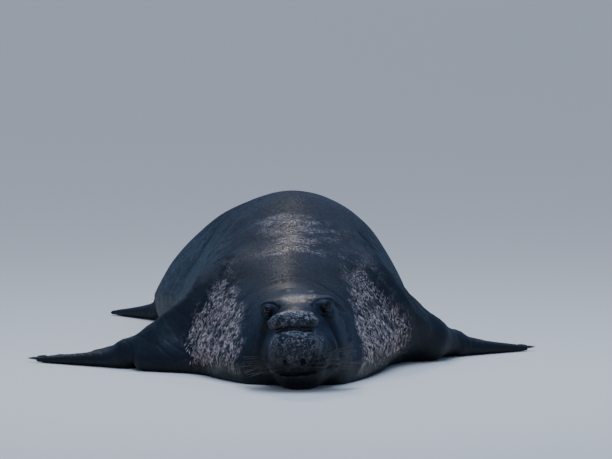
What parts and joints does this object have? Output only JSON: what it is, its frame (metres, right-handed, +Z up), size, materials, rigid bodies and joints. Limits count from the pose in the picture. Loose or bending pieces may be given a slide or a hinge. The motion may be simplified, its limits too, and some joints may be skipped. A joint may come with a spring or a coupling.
{
  "type": "elephant seal",
  "caption": "Life-size model of a young bull elephant seal lying on its belly, chin on the ground, back humped, front flippers spread and hindquarters swung to one side",
  "frame": {"origin": "middle of the bounding box, on the ground the animal lies on", "axes": "+Z up, the animal faces -Y, its left side is +X"},
  "size_m": [2.5678, 4.089, 0.8079],
  "materials": {
    "hide": "satin",
    "scarred_hide": "satin",
    "face_hide": "satin",
    "nose_hide": "satin",
    "flipper_hide": "satin",
    "eye": "gloss",
    "claw": "satin",
    "whisker": "satin"
  },
  "bodies": {
    "root": {"head": "face_hide", "proboscis": "nose_hide", "lower_jaw": "face_hide", "eye_left": "eye", "eye_right": "eye", "neck": "scarred_hide", "chest": "scarred_hide", "barrel": "hide", "loin": "hide", "rump": "hide", "tail": "hide", "foreflipper_left": "flipper_hide", "foreflipper_right": "flipper_hide", "hindflipper_left": "flipper_hide", "hindflipper_right": "flipper_hide"}
  },
  "joints": []
}
